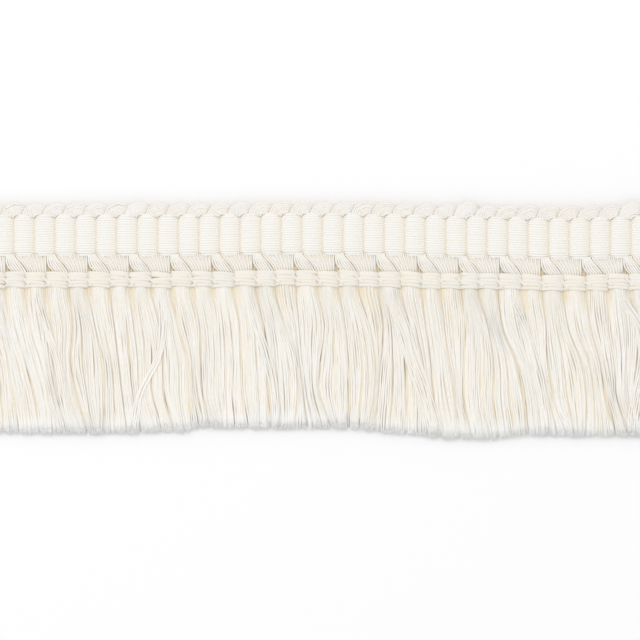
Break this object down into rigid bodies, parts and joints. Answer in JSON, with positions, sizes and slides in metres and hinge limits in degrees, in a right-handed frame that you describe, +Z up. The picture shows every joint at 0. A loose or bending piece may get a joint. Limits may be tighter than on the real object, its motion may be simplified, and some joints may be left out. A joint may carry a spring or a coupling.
{
  "type": "chainette fringe trim",
  "caption": "Cut length of ivory cotton fringe trim: ribbed woven heading with a looped edge, a crossed open row, tied knots and a loose cut fringe.",
  "frame": {"origin": "under the middle of the trim's outline, on its flat underside", "axes": "+X along the trim, +Y across it towards the woven heading, +Z up out of its face"},
  "size_m": [0.1602, 0.0514, 0.0026],
  "materials": {
    "heading": "ivory cotton, closely woven over plump ribs, matt",
    "crossed_loops": "ivory cotton yarn, softly twisted, matt",
    "tie_row": "ivory cotton tying yarn, matt",
    "fringe": "ivory cotton yarn, softly twisted, cut ends a little frayed, matt"
  },
  "bodies": {
    "root": {"heading": "heading", "crossed_loops": "crossed_loops", "tie_row": "tie_row", "fringe": "fringe"}
  },
  "joints": []
}
